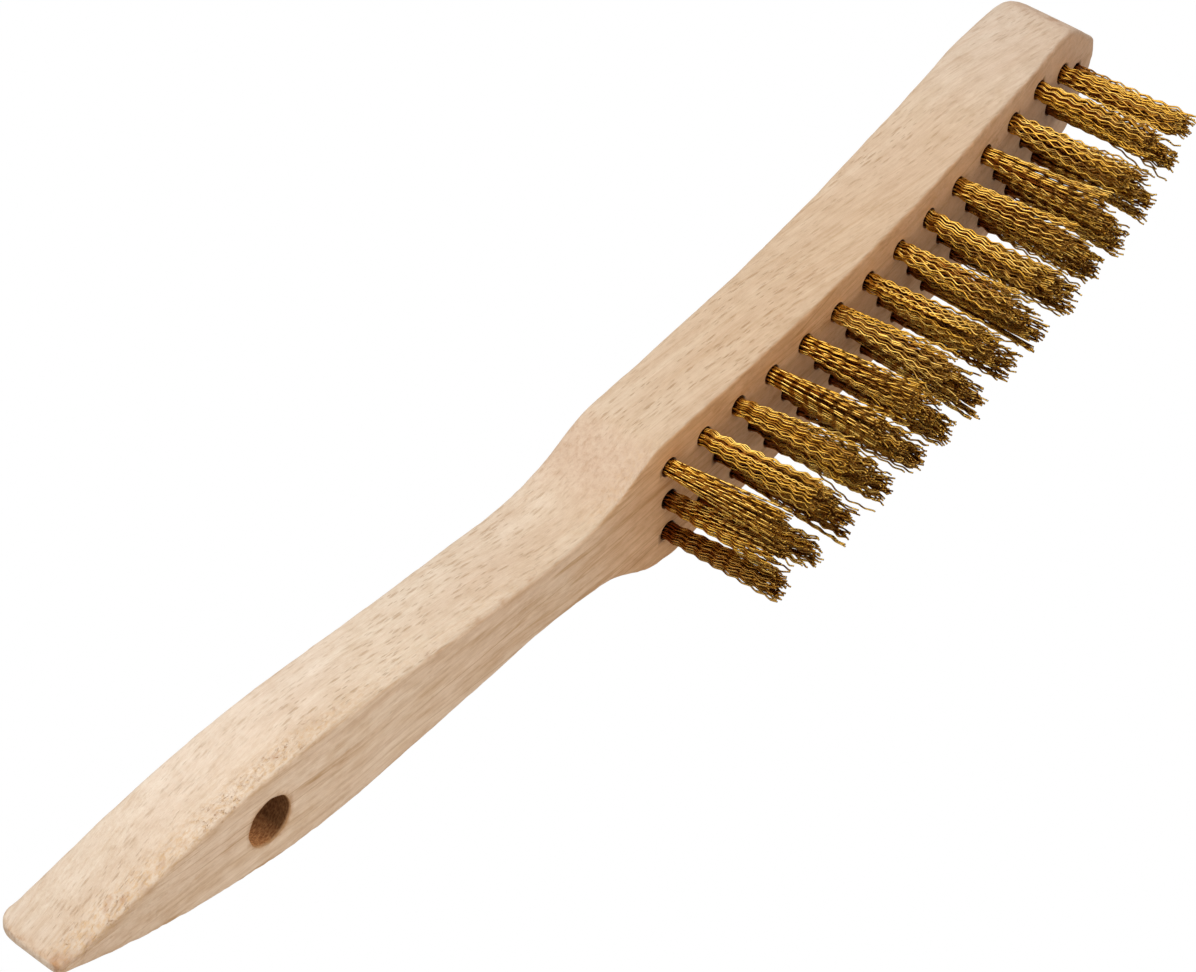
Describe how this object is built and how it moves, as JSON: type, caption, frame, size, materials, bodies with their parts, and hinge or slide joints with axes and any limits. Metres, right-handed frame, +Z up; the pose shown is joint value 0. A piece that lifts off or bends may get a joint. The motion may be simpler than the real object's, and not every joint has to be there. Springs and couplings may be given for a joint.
{
  "type": "hand wire brush",
  "caption": "Hand wire brush with a one-piece arched beech handle and head, staggered rows of crimped brass wire tufts and a hanging hole near the end of the handle.",
  "frame": {"origin": "bottom centre of the bounding box, on the plane of the lowest wire tips", "axes": "+X along the brush from handle to head, +Y across the rows, +Z up out of the back of the stock; the tufts point along -Z"},
  "size_m": [0.2908, 0.0294, 0.0619],
  "materials": {
    "beech": "raw beech, machine sanded, unvarnished",
    "brass_wire": "crimped drawn wire, bright with dark hollows"
  },
  "bodies": {
    "root": {"stock": "beech", "tuft_near_01": "brass_wire", "tuft_near_02": "brass_wire", "tuft_near_03": "brass_wire", "tuft_near_04": "brass_wire", "tuft_near_05": "brass_wire", "tuft_near_06": "brass_wire", "tuft_near_07": "brass_wire", "tuft_near_08": "brass_wire", "tuft_near_09": "brass_wire", "tuft_near_10": "brass_wire", "tuft_near_11": "brass_wire", "tuft_near_12": "brass_wire", "tuft_near_13": "brass_wire", "tuft_near_14": "brass_wire", "tuft_mid_01": "brass_wire", "tuft_mid_02": "brass_wire", "tuft_mid_03": "brass_wire", "tuft_mid_04": "brass_wire", "tuft_mid_05": "brass_wire", "tuft_mid_06": "brass_wire", "tuft_mid_07": "brass_wire", "tuft_mid_08": "brass_wire", "tuft_mid_09": "brass_wire", "tuft_mid_10": "brass_wire", "tuft_mid_11": "brass_wire", "tuft_mid_12": "brass_wire", "tuft_mid_13": "brass_wire", "tuft_mid_14": "brass_wire", "tuft_far_01": "brass_wire", "tuft_far_02": "brass_wire", "tuft_far_03": "brass_wire", "tuft_far_04": "brass_wire", "tuft_far_05": "brass_wire", "tuft_far_06": "brass_wire", "tuft_far_07": "brass_wire", "tuft_far_08": "brass_wire", "tuft_far_09": "brass_wire", "tuft_far_10": "brass_wire", "tuft_far_11": "brass_wire", "tuft_far_12": "brass_wire", "tuft_far_13": "brass_wire", "tuft_far_14": "brass_wire"}
  },
  "joints": []
}
